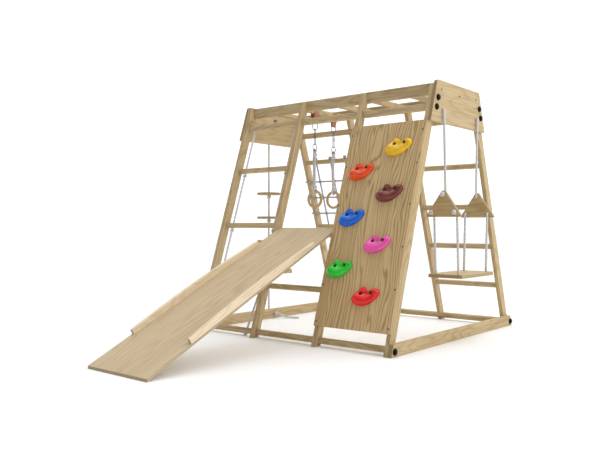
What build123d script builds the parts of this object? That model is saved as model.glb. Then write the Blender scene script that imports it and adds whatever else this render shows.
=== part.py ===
from build123d import *
from math import cos, sin, tan, radians
import os

os.makedirs("parts", exist_ok=True)

# ---------------------------------------------------------------- driving sizes (mm)
LEAN = 18.25            # lean of both climbing faces from the vertical, degrees
BASE_DEPTH = 1312.0     # front post face to back post face, at the floor
HEIGHT = 1292.0         # top edge of the gable boards
POST_PITCH = 409.0      # spacing of the four posts along a face
POST_T = 22.0           # post thickness along X
POST_D = 48.0           # post depth, square to the leaning face
POST_TOP = 1276.0

GABLE_T = 18.0
GABLE_BOTTOM = 1086.0
PLANK_T = 22.0
PLANK_H = 58.0

BEAM_Y = 448.0          # front face of the top beam
BEAM_T = 22.0
BEAM_Z = (1225.0, 1283.0)

RAIL_B = (16.0, 44.0)   # depth range of the hand rail behind the leaning face
RAIL_H = 34.0
RAIL_Z = 1160.0
BASE_B = (20.0, 42.0)
BASE_H = 29.0
BASE_Z = 27.5

RUNG_B = 30.0           # depth of rung centres behind the leaning face
RUNG_D = 24.0
RUNG_H = 28.0
RUNG_EDGE = 8.0
LADDER_Z = (263.0, 581.0, 898.0)
SLIDE_BAY_Z = (263.0, 535.0)
BACK_LADDER_Z = (238.0, 462.0, 686.0, 910.0)
NET_Z = (575.0, 993.0)

BAR_SIZE = 28.0
BAR_Z = 1230.0
BAR_PITCH = 230.0

PANEL_T = 12.0
PANEL_Z = (97.0, 1086.0)
PANEL_EDGE = 1.5

ROPE_HOLE_GAP = 0.5     # radial clearance of a rope in a drilled hole
SWING_ROPE_D = 12.0
LADDER_ROPE_D = 11.0
RING_ROPE_D = 12.0
DISC_ROPE_D = 12.0
NET_ROPE_D = 11.0

# swing, hung outside the right-hand gable
SWING_HALF = 186.0      # half the spacing of the two hanging ropes
SWING_HOLE_Z = 1152.0
SWING_OUT = 10.0        # rope centre in front of the gable face
SPREADER_Z = (623.0, 752.0)
SPREADER_HALF = 96.5
SPREADER_TOP_HALF = 7.0
SPREADER_T = 18.0
SPREADER_CORNER = 5.0
SPREADER_HOLE_Z = (645.0, 733.0)
ROPE_OFF = 16.1          # rope centre off the middle of the spreader, on its inner face
SEAT_Z = (323.0, 341.0)
SEAT_SIZE = (184.0, 357.0)
SEAT_ROPE_X = 62.0
SEAT_ROPE_Y = 155.0

# rings, hung from the second monkey bar
RING_BAR = -1           # bar index counted from the middle bar
RING_HALF = 90.0
STRAP_W = 38.0
STRAP_T = 2.0
D_BAR_Z = 1176.0
WIRE_D = 4.0
D_RING_DEPTH = 38.0
D_RING_CORNERS = (3.5, 3.5, 17.0, 17.0)
SMALL_RING_Z = 1036.0
SMALL_RING_R = 18.6
GYM_RING_Z = 734.0
GYM_RING_R = 46.5
GYM_RING_D = 15.0

# disc rope, hung outside the left-hand gable
DISC_OUT = 31.5
DISC_EYE_Z = 1238.0
DISC_EXIT_Z = 30.0
DISC_Z = (781.0, 630.0, 480.0, 330.0)
DISC_D = 150.0
DISC_T = 15.0

# slide, hooked on the upper rung of the middle bay
SLIDE_TIP_Y = -965.0
SLIDE_TOP_Y = 217.0
SLIDE_TOP_Z = 569.0
SLIDE_W = 384.0
SLIDE_BED_T = 12.0      # measured plumb
SIDE_T = 15.0
SIDE_EDGE = 3.0
HOOK_T = 22.0
HOOK_W = 20.0
HOOK_INSET = 40.0

# ---------------------------------------------------------------- derived places
SLOPE = tan(radians(LEAN))
LEAN_SIN = sin(radians(LEAN))
LEAN_COS = cos(radians(LEAN))
POST_X = [POST_PITCH * (i - 1.5) for i in range(4)]
OUTER_X = POST_X[3] + POST_T / 2
GABLE_X = OUTER_X + GABLE_T
MID_Y = BASE_DEPTH / 2
SWING_X = GABLE_X + SWING_OUT
DISC_X = -(GABLE_X + DISC_OUT)
CENTRE_Y = (SLIDE_TIP_Y + BASE_DEPTH) / 2
BAY_CLEAR = POST_PITCH - POST_T
SLIDE_SLOPE = (SLIDE_TOP_Z - SLIDE_BED_T) / (SLIDE_TOP_Y - SLIDE_TIP_Y)
RING_X = RING_BAR * BAR_PITCH


def along(z, b):
    """Distance up the leaning face to a point at height z and depth b behind the face."""
    return (z + b * LEAN_SIN) / LEAN_COS


def face_y(z, b):
    """Y of a point of the front frame at height z and depth b behind the face."""
    return along(z, b) * LEAN_SIN + b * LEAN_COS


def lean(shape):
    """Lay a shape drawn upright (Y is depth, Z runs up the face) on the front face."""
    return Rot(X=-LEAN) * shape


def to_back(shape):
    """Mirror a front shape to the back frame."""
    return mirror(shape, about=Plane.XZ.offset(-MID_Y))


def block(x, y, z):
    """Box between the given (low, high) pairs."""
    size = (x[1] - x[0], y[1] - y[0], z[1] - z[0])
    centre = ((x[0] + x[1]) / 2, (y[0] + y[1]) / 2, (z[0] + z[1]) / 2)
    return Pos(*centre) * Box(*size)


def rod_x(x, y, z, d):
    """Cylinder along X between two x values."""
    return Pos((x[0] + x[1]) / 2, y, z) * (Rot(Y=90) * Cylinder(d / 2, abs(x[1] - x[0])))


def rod(a, b, d):
    """Round bar from point a to point b."""
    start, end = Vector(*a), Vector(*b)
    axis = end - start
    return extrude(Plane(origin=start, z_dir=axis) * Circle(d / 2), axis.length)


def rounded_bar(x, b, a, edge):
    """Long bar along X with rounded long edges."""
    bar = block(x, b, a)
    return fillet(bar.edges().filter_by(Axis.X), edge)


def save(name, shape):
    export_step(Pos(0, -CENTRE_Y, 0) * shape, f"parts/{name}.step")


# ---------------------------------------------------------------- rails, rungs and bars
def face_bar(x, b, z_mid, height, edge):
    """Bar of the leaning frame, centred at height z_mid."""
    a_mid = along(z_mid, (b[0] + b[1]) / 2)
    return lean(rounded_bar(x, b, (a_mid - height / 2, a_mid + height / 2), edge))


def notch(b_front, z_mid, height, b_mid):
    """Housing cut through the back of a post for a bar of the leaning frame."""
    a_mid = along(z_mid, b_mid)
    reach = OUTER_X + 5
    return lean(block((-reach, reach), (b_front, POST_D + 5), (a_mid - height / 2, a_mid + height / 2)))


def rung(bay, z, hole_x=(), rope_d=0.0):
    """Rung between the posts of one bay, drilled for the ropes that pass through it."""
    x = (POST_X[bay] + POST_T / 2, POST_X[bay + 1] - POST_T / 2)
    piece = face_bar(x, (RUNG_B - RUNG_D / 2, RUNG_B + RUNG_D / 2), z, RUNG_H, RUNG_EDGE)
    for hx in hole_x:
        piece -= face_rod(hx, RUNG_B, (z - RUNG_H, z + RUNG_H), rope_d + 2 * ROPE_HOLE_GAP)
    return piece


def face_rod(x, b, z, d):
    """Round rod that runs up the leaning face at depth b, between two heights."""
    a = (along(z[0], b), along(z[1], b))
    return lean(Pos(x, b, (a[0] + a[1]) / 2) * Cylinder(d / 2, a[1] - a[0]))


BOLT_Z = (1157.0, 1204.0)
BOLT_B = 30.0
BOLT_D = 8.0
BOLT_FIT = 8.4
CAP_D = 31.0
CAP_H = 11.0
CAP_EDGE = 8.0
BOLT_DEPTH = 60.0
PLANK_BOLT_B = 17.0
PLANK_BOLT_Z = 25.0

bolt_places = [(face_y(z, BOLT_B), z) for z in BOLT_Z]
plank_bolt_place = (face_y(PLANK_BOLT_Z, PLANK_BOLT_B), PLANK_BOLT_Z)


def end_bolt_holes():
    """Clearance holes for every bolt that holds a gable or an end plank."""
    holes = []
    for side in (-1, 1):
        x = (side * (OUTER_X - BOLT_DEPTH), side * (GABLE_X + 10))
        for y, z in bolt_places + [plank_bolt_place]:
            holes.append(rod_x(x, y, z, BOLT_FIT))
            holes.append(rod_x(x, BASE_DEPTH - y, z, BOLT_FIT))
    return holes


bolt_holes = end_bolt_holes()

rail_x = (-OUTER_X, OUTER_X)
ladder_rope_x = (-557.0, -240.0)
ladder_foot_x = (-557.0, -276.0)
ladder_bend_z = 245.0
ladder_rope_hole = LADDER_ROPE_D + 2 * ROPE_HOLE_GAP
LADDER_ROPE_END_Z = 6.0



def ladder_foot(x, foot_x, extra, d):
    """Lowest run of a ladder rope, from under the last rung to its end below the base rail."""
    high = Vector(x, face_y(ladder_bend_z, RUNG_B), ladder_bend_z)
    low = Vector(foot_x, face_y(LADDER_ROPE_END_Z, RUNG_B), LADDER_ROPE_END_Z)
    return rod(low + (low - high).normalized() * extra, high, d)


hand_rail = face_bar(rail_x, RAIL_B, RAIL_Z, RAIL_H, 10.0)
base_rail = face_bar(rail_x, BASE_B, BASE_Z, BASE_H, 3.0)
top_beam = block(rail_x, (BEAM_Y, BEAM_Y + BEAM_T), BEAM_Z)
top_beam = fillet(top_beam.edges().filter_by(Axis.X), 3.0)

save("top_beams", Compound(children=[top_beam, to_back(top_beam)]))

front_hand_rail = hand_rail - bolt_holes
front_base_rail = base_rail - bolt_holes
for rope_x in ladder_rope_x:
    front_hand_rail -= face_rod(rope_x, RUNG_B, (RAIL_Z - RAIL_H, RAIL_Z), ladder_rope_hole)
for rope_x, foot_x in zip(ladder_rope_x, ladder_foot_x):
    front_base_rail -= ladder_foot(rope_x, foot_x, 12.0, ladder_rope_hole)
save("hand_rails", Compound(children=[front_hand_rail, to_back(hand_rail) - bolt_holes]))
save("base_rails", Compound(children=[front_base_rail, to_back(base_rail) - bolt_holes]))

ladder_rungs = [rung(0, z, ladder_rope_x, LADDER_ROPE_D) for z in LADDER_Z]
save("rope_ladder_rungs", Compound(children=ladder_rungs))
save("slide_bay_rungs", Compound(children=[rung(1, z) for z in SLIDE_BAY_Z]))

net_rope_x = [POST_X[0] + POST_PITCH / 2 + side * 116.0 for side in (-1, 0, 1)]
net_rungs = [rung(0, z, net_rope_x, NET_ROPE_D) for z in NET_Z]
back_rungs = [to_back(rung(2, z)) for z in BACK_LADDER_Z] + [to_back(piece) for piece in net_rungs]
save("back_rungs", Compound(children=back_rungs))

bar_y = (BEAM_Y + BEAM_T, BASE_DEPTH - BEAM_Y - BEAM_T)
bars = []
for i in range(-2, 3):
    bar = block((i * BAR_PITCH - BAR_SIZE / 2, i * BAR_PITCH + BAR_SIZE / 2), bar_y, (BAR_Z, BAR_Z + BAR_SIZE))
    bars.append(fillet(bar.edges().filter_by(Axis.Y), 6.0))
save("monkey_bars", Compound(children=bars))

# ---------------------------------------------------------------- posts
POST_EDGE = 2.0
post_blank = lean(fillet(block((-POST_T / 2, POST_T / 2), (0, POST_D), (-40, along(POST_TOP, 0) + 60))
                         .edges().filter_by(Axis.Z), POST_EDGE))
post_range = block((-POST_T, POST_T), (-100, BASE_DEPTH), (0, POST_TOP))
post_blank = post_blank & post_range
housings = [notch(RAIL_B[0], RAIL_Z, RAIL_H, sum(RAIL_B) / 2), notch(BASE_B[0], BASE_Z, BASE_H, sum(BASE_B) / 2)]
housings.append(block((-OUTER_X - 5, OUTER_X + 5), (BEAM_Y, BEAM_Y + 80), (BEAM_Z[0], HEIGHT)))
for i, x in enumerate(POST_X):
    post = (Pos(x, 0, 0) * post_blank) - housings
    save(f"post_front_{i + 1}", post - bolt_holes)
    save(f"post_back_{i + 1}", to_back(post) - bolt_holes)

# ---------------------------------------------------------------- gables and end planks
GABLE_CORNER = 14.0
BOARD_EDGE = 2.5


def end_board(z_low, z_high, corner):
    """Outline of a board across the end of the frame, its ends flush with the posts."""
    low, high = SLOPE * z_low, SLOPE * z_high
    outline = Polyline((low, z_low), (BASE_DEPTH - low, z_low), (BASE_DEPTH - high, z_high), (high, z_high), close=True)
    sheet = make_face(Plane.YZ * outline)
    return fillet(sheet.vertices().sort_by(Axis.Z)[-2:], corner)


def on_side(sheet, side, thickness):
    """Extrude an end outline outwards from the outer post faces and ease its outer edge."""
    board = Pos(side * OUTER_X, 0, 0) * extrude(sheet, thickness, dir=(side, 0, 0))
    outer = board.faces().sort_by(Axis.X)[-1 if side > 0 else 0]
    return fillet(outer.edges(), BOARD_EDGE)


swing_holes = [rod_x((OUTER_X - 5, GABLE_X + 5), MID_Y + s * SWING_HALF, SWING_HOLE_Z,
                     SWING_ROPE_D + 2 * ROPE_HOLE_GAP) for s in (-1, 1)]
disc_hole = rod_x((-OUTER_X + 5, -GABLE_X - 5), MID_Y, DISC_EYE_Z, BOLT_FIT)
tail_hole = rod_x((-OUTER_X + 5, -GABLE_X - 15), MID_Y, DISC_EXIT_Z, DISC_ROPE_D + 2 * ROPE_HOLE_GAP)

gable = end_board(GABLE_BOTTOM, HEIGHT, GABLE_CORNER)
plank = end_board(0, PLANK_H, 3.0)
save("gable_board_right", on_side(gable, 1, GABLE_T) - bolt_holes - swing_holes)
save("gable_board_left", on_side(gable, -1, GABLE_T) - bolt_holes - disc_hole)
save("end_plank_right", on_side(plank, 1, PLANK_T) - bolt_holes)
save("end_plank_left", on_side(plank, -1, PLANK_T) - bolt_holes - tail_hole)


def cap_bolt(side, x_face, y, z):
    """Bolt with a domed cap on the outside of the frame's end."""
    cap = rod_x((side * x_face, side * (x_face + CAP_H)), y, z, CAP_D)
    outer = cap.edges().sort_by(Axis.X)[-1 if side > 0 else 0]
    shank = rod_x((side * (OUTER_X - BOLT_DEPTH + 10), side * x_face), y, z, BOLT_D)
    return fillet(outer, CAP_EDGE) + shank


bolts = []
for side in (-1, 1):
    for y, z in bolt_places:
        bolts += [cap_bolt(side, GABLE_X, y, z), cap_bolt(side, GABLE_X, BASE_DEPTH - y, z)]
    y, z = plank_bolt_place
    x_face = OUTER_X + PLANK_T
    bolts += [cap_bolt(side, x_face, y, z), cap_bolt(side, x_face, BASE_DEPTH - y, z)]
save("frame_bolts", Compound(children=bolts))

# ---------------------------------------------------------------- climbing panel and holds
HOLD_H = 38.0
HOLD_BORE = 15.0
HOLD_SEAT = 12.0
HOLD_BOLT_D = 6.0
HOLD_HEAD = (13.0, 7.0)
HOLD_BOLTS = ((-22.0, 8.0), (30.0, 14.0))
HOLDS = {
    "hold_yellow": (500.0, 966.0),
    "hold_orange": (306.5, 852.0),
    "hold_brown": (494.0, 740.0),
    "hold_blue": (300.0, 623.0),
    "hold_pink": (477.0, 497.0),
    "hold_green": (286.0, 375.0),
    "hold_red": (464.0, 256.0),
}
SCREW_D = 7.0
SCREW_Z = (1042.0, 878.0, 682.0, 484.0, 293.0, 122.0)

hold_lobes = [Pos(-42, -14) * Circle(36), Pos(-20, 25) * Circle(17), Pos(49, 15) * Circle(23), Pos(2, -26) * Circle(24)]
hold_outline = make_hull([edge for lobe in hold_lobes for edge in lobe.edges()])


def on_panel(shape, x, z):
    """Place a shape drawn on XY, growing along +Z, on the front of the climbing panel."""
    upright = Rot(X=90) * shape
    return lean(Pos(x, -PANEL_T, along(z, -PANEL_T)) * upright)


def hold_body():
    body = extrude(hold_outline, HOLD_H, taper=22)
    for x, y in HOLD_BOLTS:
        body -= Pos(x, y, HOLD_SEAT + HOLD_H / 2) * Cylinder(HOLD_BORE / 2, HOLD_H)
        body -= Pos(x, y, HOLD_H / 2) * Cylinder(HOLD_BOLT_D / 2 + 0.3, HOLD_H)
    return body


def hold_bolt(x, y):
    head_d, head_h = HOLD_HEAD
    head = Pos(x, y, HOLD_SEAT + head_h / 2) * Cylinder(head_d / 2, head_h)
    shank_low = -PANEL_T + 1
    shank = Pos(x, y, (shank_low + HOLD_SEAT) / 2) * Cylinder(HOLD_BOLT_D / 2, HOLD_SEAT - shank_low)
    return head + shank


panel_x = (POST_X[2] - POST_T / 2, OUTER_X)
panel = block(panel_x, (-PANEL_T, 0), (along(PANEL_Z[0], 0), along(PANEL_Z[1], 0)))
panel = lean(fillet(panel.faces().sort_by(Axis.Y)[0].edges(), PANEL_EDGE))
hold = hold_body()
hold_bolts = []
for name, (x, z) in HOLDS.items():
    save(name, on_panel(hold, x, z))
    for bx, by in HOLD_BOLTS:
        hold_bolts.append(on_panel(hold_bolt(bx, by), x, z))
        panel -= on_panel(Pos(bx, by, 0) * Cylinder(HOLD_BOLT_D / 2 + 0.3, 3 * PANEL_T), x, z)
save("climbing_panel", panel)
save("hold_bolts", Compound(children=hold_bolts))

screws = []
for x in (POST_X[2], POST_X[3]):
    for z in SCREW_Z:
        screws.append(on_panel(Pos(0, 0, 0.4) * Cylinder(SCREW_D / 2, 0.8), x, z))
save("panel_screws", Compound(children=screws))

# ---------------------------------------------------------------- slide
SIDE_PROFILE = (          # distance from the tip along Y, height of the side board above the bed
    (207.0, 25.0),
    (340.0, 32.0),
    (487.0, 36.0),
    (669.0, 35.5),
    (840.0, 29.0),
    (994.0, 20.0),
)


def bed_top(y):
    return SLIDE_BED_T + (y - SLIDE_TIP_Y) * SLIDE_SLOPE


def across(face, x):
    """Extrude a slide profile drawn on YZ between two x values."""
    return Pos(x[0], 0, 0) * extrude(face, x[1] - x[0], dir=(1, 0, 0))


bed_outline = Plane.YZ * Polyline(
    (SLIDE_TIP_Y, 0), (SLIDE_TIP_Y, SLIDE_BED_T), (SLIDE_TOP_Y, SLIDE_TOP_Z),
    (SLIDE_TOP_Y, SLIDE_TOP_Z - SLIDE_BED_T), close=True)
bed = across(make_face(bed_outline), (-SLIDE_W / 2, SLIDE_W / 2))
save("slide_bed", bed)

def square_foot(point, rise):
    """Point of the bed square below a point of the side board's top edge."""
    y = point[0] + rise * SLIDE_SLOPE / (1 + SLIDE_SLOPE ** 2)
    return (y, bed_top(y))


side_points = [(SLIDE_TIP_Y + run, bed_top(SLIDE_TIP_Y + run) + rise) for run, rise in SIDE_PROFILE]
side_low = square_foot(side_points[0], SIDE_PROFILE[0][1])
side_high = square_foot(side_points[-1], SIDE_PROFILE[-1][1])
side_top = Plane.YZ * Spline(*side_points)
side_rest = Plane.YZ * Polyline(side_points[-1], side_high, side_low, side_points[0])
side_board = across(make_face(side_top.edges() + side_rest.edges()), (0, SIDE_T))
side_board = fillet(side_board.edges().filter_by(GeomType.BSPLINE), SIDE_EDGE)
save("slide_sides", Compound(children=[
    Pos(-SLIDE_W / 2, 0, 0) * side_board, Pos(SLIDE_W / 2 - SIDE_T, 0, 0) * side_board]))

STEP_REAR_Y = -137.0     # horizontal step bar under the bed
STEP_LOW_Z = 361.0
STEP_T = 20.0
HOOK_GAP = 1.0
HOOK_REACH = 18.0        # wood behind the rung
HOOK_LOW_Z = 527.0


def bed_low(y):
    return bed_top(y) - SLIDE_BED_T


def bed_low_y(z):
    return SLIDE_TIP_Y + z / SLIDE_SLOPE


rung_y = face_y(SLIDE_BAY_Z[1], RUNG_B)
hook_half = (RUNG_D * LEAN_COS + RUNG_H * LEAN_SIN) / 2 + HOOK_GAP
hook_top = SLIDE_BAY_Z[1] + (RUNG_H * LEAN_COS + RUNG_D * LEAN_SIN) / 2
hook_rear = rung_y + hook_half + HOOK_REACH
rung_space = block((-SLIDE_W, SLIDE_W), (rung_y - hook_half, rung_y + hook_half), (HOOK_LOW_Z - 60, hook_top + 0.3))
hook_outline = Plane.YZ * Polyline(
    (STEP_REAR_Y + 1, bed_low(STEP_REAR_Y + 1)), (SLIDE_TOP_Y, bed_low(SLIDE_TOP_Y)), (SLIDE_TOP_Y, SLIDE_TOP_Z - 2),
    (hook_rear, SLIDE_TOP_Z - 2), (hook_rear, HOOK_LOW_Z), (rung_y - hook_half, HOOK_LOW_Z),
    (rung_y - hook_half, bed_low(rung_y - hook_half) - HOOK_T), (STEP_REAR_Y + 1, bed_low(STEP_REAR_Y + 1) - HOOK_T),
    close=True)
hook = across(make_face(hook_outline), (0, HOOK_W)) - rung_space
step_outline = Plane.YZ * Polyline(
    (bed_low_y(STEP_LOW_Z), STEP_LOW_Z), (STEP_REAR_Y, STEP_LOW_Z), (STEP_REAR_Y, STEP_LOW_Z + STEP_T),
    (bed_low_y(STEP_LOW_Z + STEP_T), STEP_LOW_Z + STEP_T), close=True)
step_bar = across(make_face(step_outline), (-SLIDE_W / 2, SLIDE_W / 2))
hook_x = SLIDE_W / 2 - HOOK_INSET
save("slide_battens", Compound(children=[Pos(-hook_x, 0, 0) * hook, Pos(hook_x - HOOK_W, 0, 0) * hook, step_bar]))

# ---------------------------------------------------------------- swing
spreader_outline = Plane.XZ * Polyline(
    (SWING_X - SPREADER_HALF, SPREADER_Z[0]), (SWING_X + SPREADER_HALF, SPREADER_Z[0]),
    (SWING_X + SPREADER_TOP_HALF, SPREADER_Z[1]), (SWING_X - SPREADER_TOP_HALF, SPREADER_Z[1]), close=True)
spreader_sheet = make_face(spreader_outline)
spreader_sheet = fillet(spreader_sheet.vertices().sort_by(Axis.Z)[:2], SPREADER_CORNER)
spreader = extrude(spreader_sheet, SPREADER_T / 2, both=True)
hole_places = ((-SEAT_ROPE_X, SPREADER_HOLE_Z[0]), (SEAT_ROPE_X, SPREADER_HOLE_Z[0]), (0, SPREADER_HOLE_Z[1]))
for dx, z in hole_places:
    spreader -= rod((SWING_X + dx, -SPREADER_T, z), (SWING_X + dx, SPREADER_T, z), SWING_ROPE_D + 2 * ROPE_HOLE_GAP)
save("swing_spreaders", Compound(children=[Pos(0, MID_Y + side * SWING_HALF, 0) * spreader for side in (-1, 1)]))
for side, name in ((-1, "front"), (1, "rear")):
    y_rope = MID_Y + side * SWING_HALF
    y_face = y_rope - side * ROPE_OFF
    spread = rod((SWING_X, y_face, SPREADER_HOLE_Z[1]), (SWING_X, y_rope, SWING_HOLE_Z), SWING_ROPE_D)
    top_cut = block((SWING_X - 20, SWING_X + 20), (0, BASE_DEPTH), (SPREADER_HOLE_Z[1], SWING_HOLE_Z))
    save(f"swing_rope_{name}", spread & top_cut)
    for turn, tag in ((-1, "inner"), (1, "outer")):
        x = SWING_X + turn * SEAT_ROPE_X
        low = Vector(x, MID_Y + side * SEAT_ROPE_Y, SEAT_Z[1])
        high = Vector(x, y_face, SPREADER_HOLE_Z[0])
        reach = (high - low).normalized() * SWING_ROPE_D
        rope = rod(low - reach, high + reach, SWING_ROPE_D)
        gap = block((x - 20, x + 20), (0, BASE_DEPTH), (SEAT_Z[1], SPREADER_HOLE_Z[0]))
        save(f"seat_rope_{name}_{tag}", rope & gap)

seat = Pos(SWING_X, MID_Y, sum(SEAT_Z) / 2) * Box(*SEAT_SIZE, SEAT_Z[1] - SEAT_Z[0])
seat = fillet(seat.edges().filter_by(Axis.Z), 5.0)
seat = fillet(seat.faces().sort_by(Axis.Z)[-1].edges() + seat.faces().sort_by(Axis.Z)[0].edges(), 2.0)
save("swing_seat", seat)

STUB_KNOT_D = 25.0
STUB_KNOT_L = 14.0
STUB_GAP = 0.5
stub_x = (OUTER_X - STUB_KNOT_L / 2, SWING_X - SWING_ROPE_D / 2 - STUB_GAP)
stubs = []
for side in (-1, 1):
    y = MID_Y + side * SWING_HALF
    knot = rod_x((OUTER_X - STUB_KNOT_L, OUTER_X), y, SWING_HOLE_Z, STUB_KNOT_D)
    knot = fillet(knot.edges().filter_by(GeomType.CIRCLE), 4.0)
    stubs.append(knot + rod_x(stub_x, y, SWING_HOLE_Z, SWING_ROPE_D))
save("swing_rope_stubs", Compound(children=stubs))

# ---------------------------------------------------------------- rings
STRAP_GAP = 0.4


def strap():
    """Closed webbing loop over a monkey bar with a small eye round the D-ring's bar."""
    half = BAR_SIZE / 2 + STRAP_GAP
    top = BAR_Z + BAR_SIZE + STRAP_GAP
    eye = WIRE_D / 2 + STRAP_GAP
    low = D_BAR_Z - eye
    neck = D_BAR_Z + 14

    def loop(grow):
        outline = Polyline((-half - grow, top + grow), (half + grow, top + grow), (half + grow, BAR_Z - 12),
                           (eye + grow, neck), (eye + grow, low - grow), (-eye - grow, low - grow),
                           (-eye - grow, neck), (-half - grow, BAR_Z - 12), close=True)
        return make_face(Plane.XZ * outline)

    band = loop(STRAP_T) - loop(0)
    return extrude(band, STRAP_W / 2, both=True)


def wire_ring(points, radius, d, plane):
    """Closed wire with rounded corners, drawn on a plane; one radius or one per corner."""
    path = plane * FilletPolyline(*points, radius=radius, close=True)
    start = path.edges()[0]
    section = Plane(origin=start @ 0.5, z_dir=start % 0.5) * Circle(d / 2)
    return sweep(section, path=path)


D_HALF = STRAP_W / 2 + 4
LINK_HALF = 4.6
d_low = D_BAR_Z - D_RING_DEPTH
link_high = d_low + WIRE_D + 0.4
link_low = SMALL_RING_Z + SMALL_RING_R - WIRE_D - 0.4
save("ring_straps", Compound(children=[Pos(RING_X, MID_Y + side * RING_HALF, 0) * strap() for side in (-1, 1)]))
for side, name in ((-1, "front"), (1, "rear")):
    y = MID_Y + side * RING_HALF
    at = Pos(RING_X, y, 0)
    d_ring = wire_ring([(-D_HALF, D_BAR_Z), (D_HALF, D_BAR_Z), (D_HALF, d_low), (-D_HALF, d_low)],
                       D_RING_CORNERS, WIRE_D, Plane.YZ)
    link = wire_ring([(-LINK_HALF, link_high), (LINK_HALF, link_high), (LINK_HALF, link_low), (-LINK_HALF, link_low)],
                     LINK_HALF - 0.2, WIRE_D, Plane.XZ)
    small = Pos(0, 0, SMALL_RING_Z) * (Rot(Y=90) * Torus(SMALL_RING_R, WIRE_D / 2))
    save(f"ring_hanger_{name}", at * Compound(children=[d_ring, link]))
    save(f"rope_eye_{name}", at * small)
    rope_top = SMALL_RING_Z - SMALL_RING_R - WIRE_D / 2 - 0.3
    rope_low = GYM_RING_Z + GYM_RING_R + GYM_RING_D / 2 + 0.3
    save(f"ring_rope_{name}", at * rod((0, 0, rope_low), (0, 0, rope_top), RING_ROPE_D))
    save(f"gym_ring_{name}", at * Pos(0, 0, GYM_RING_Z) * (Rot(X=90) * Torus(GYM_RING_R, GYM_RING_D / 2)))

# ---------------------------------------------------------------- rope ladder and net
for rope_x, foot_x, name in zip(ladder_rope_x, ladder_foot_x, ("left", "right")):
    rope = face_rod(rope_x, RUNG_B, (LADDER_ROPE_END_Z, RAIL_Z), LADDER_ROPE_D)
    if foot_x != rope_x:
        bend = Pos(rope_x, face_y(ladder_bend_z, RUNG_B), ladder_bend_z) * Sphere(LADDER_ROPE_D / 2)
        rope = face_rod(rope_x, RUNG_B, (ladder_bend_z, RAIL_Z), LADDER_ROPE_D) + bend
        rope += ladder_foot(rope_x, foot_x, 0.0, LADDER_ROPE_D)
    save(f"ladder_rope_{name}", rope)

NET_ROW_Z = (662.0, 765.0, 868.0)
net_end = (NET_Z[0] - 4, NET_Z[1] + 4)
net = [to_back(face_rod(x, RUNG_B, net_end, NET_ROPE_D)) for x in net_rope_x]
bay_x = (POST_X[0] + POST_T / 2, POST_X[1] - POST_T / 2)
for z in NET_ROW_Z:
    net.append(to_back(rod_x(bay_x, face_y(z, RUNG_B), z, NET_ROPE_D)))
climbing_net = net[0] + net[1:]
save("climbing_net", climbing_net)

# ---------------------------------------------------------------- disc rope
EYE_R = 11.0
EYE_WIRE_D = 6.0
NUT_SIZE = (13.0, 6.5)   # across flats, thickness
TAIL = (                 # loose end, from the plank's hole inwards to the floor
    (-OUTER_X + 34.0, MID_Y, DISC_EXIT_Z),
    (-OUTER_X + 66.0, MID_Y + 16.0, 11.0),
    (-OUTER_X + 106.0, MID_Y + 40.0, 7.5),
    (-OUTER_X + 150.0, MID_Y + 58.0, 7.5),
)
EXIT_BEND = 24.0         # bend outside the end plank's hole
eye_low = DISC_EYE_Z - EYE_R - EYE_WIRE_D / 2
route = [(DISC_X, MID_Y, eye_low - 0.3), (DISC_X, MID_Y, DISC_EXIT_Z), *TAIL]

shank_x = (-OUTER_X + 12.0, DISC_X + EYE_R)
nut = extrude(Plane.YZ * RegularPolygon(NUT_SIZE[0] / 2, 6, major_radius=False), NUT_SIZE[1])
eye_bolt = rod_x(shank_x, MID_Y, DISC_EYE_Z, BOLT_D)
eye_bolt += Pos(DISC_X, MID_Y, DISC_EYE_Z) * (Rot(X=90) * Torus(EYE_R, EYE_WIRE_D / 2))
eye_bolt += Pos(-OUTER_X, MID_Y, DISC_EYE_Z) * nut
save("disc_eye_bolt", eye_bolt)


def corner_radii(points, largest):
    """Arc radius at each inner point: 0.45 of the shorter run over the tangent of half the turn."""
    radii = []
    for before, here, after in zip(points, points[1:], points[2:]):
        run_in, run_out = Vector(*here) - Vector(*before), Vector(*after) - Vector(*here)
        turn = radians(run_in.get_angle(run_out))
        radii.append(min(largest, 0.45 * min(run_in.length, run_out.length) / tan(turn / 2)))
    return radii


radii = corner_radii(route, 60.0)
radii[0] = EXIT_BEND
path = FilletPolyline(*route, radius=radii)
disc_rope = sweep(Plane(origin=path @ 0, z_dir=path % 0) * Circle(DISC_ROPE_D / 2), path=path)
print("disc rope length", round(path.length, 1))
save("disc_rope", disc_rope)

disc = Cylinder(DISC_D / 2, DISC_T) - Cylinder(DISC_ROPE_D / 2 + ROPE_HOLE_GAP, DISC_T)
rim = disc.edges().filter_by(GeomType.CIRCLE).sort_by(SortBy.RADIUS)[-2:]
disc = fillet(rim, 4.0)
for i, z in enumerate(DISC_Z):
    save(f"rope_disc_{i + 1}", Pos(DISC_X, MID_Y, z) * disc)
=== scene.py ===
import math
from math import cos, pi, radians, sin, tan

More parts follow.
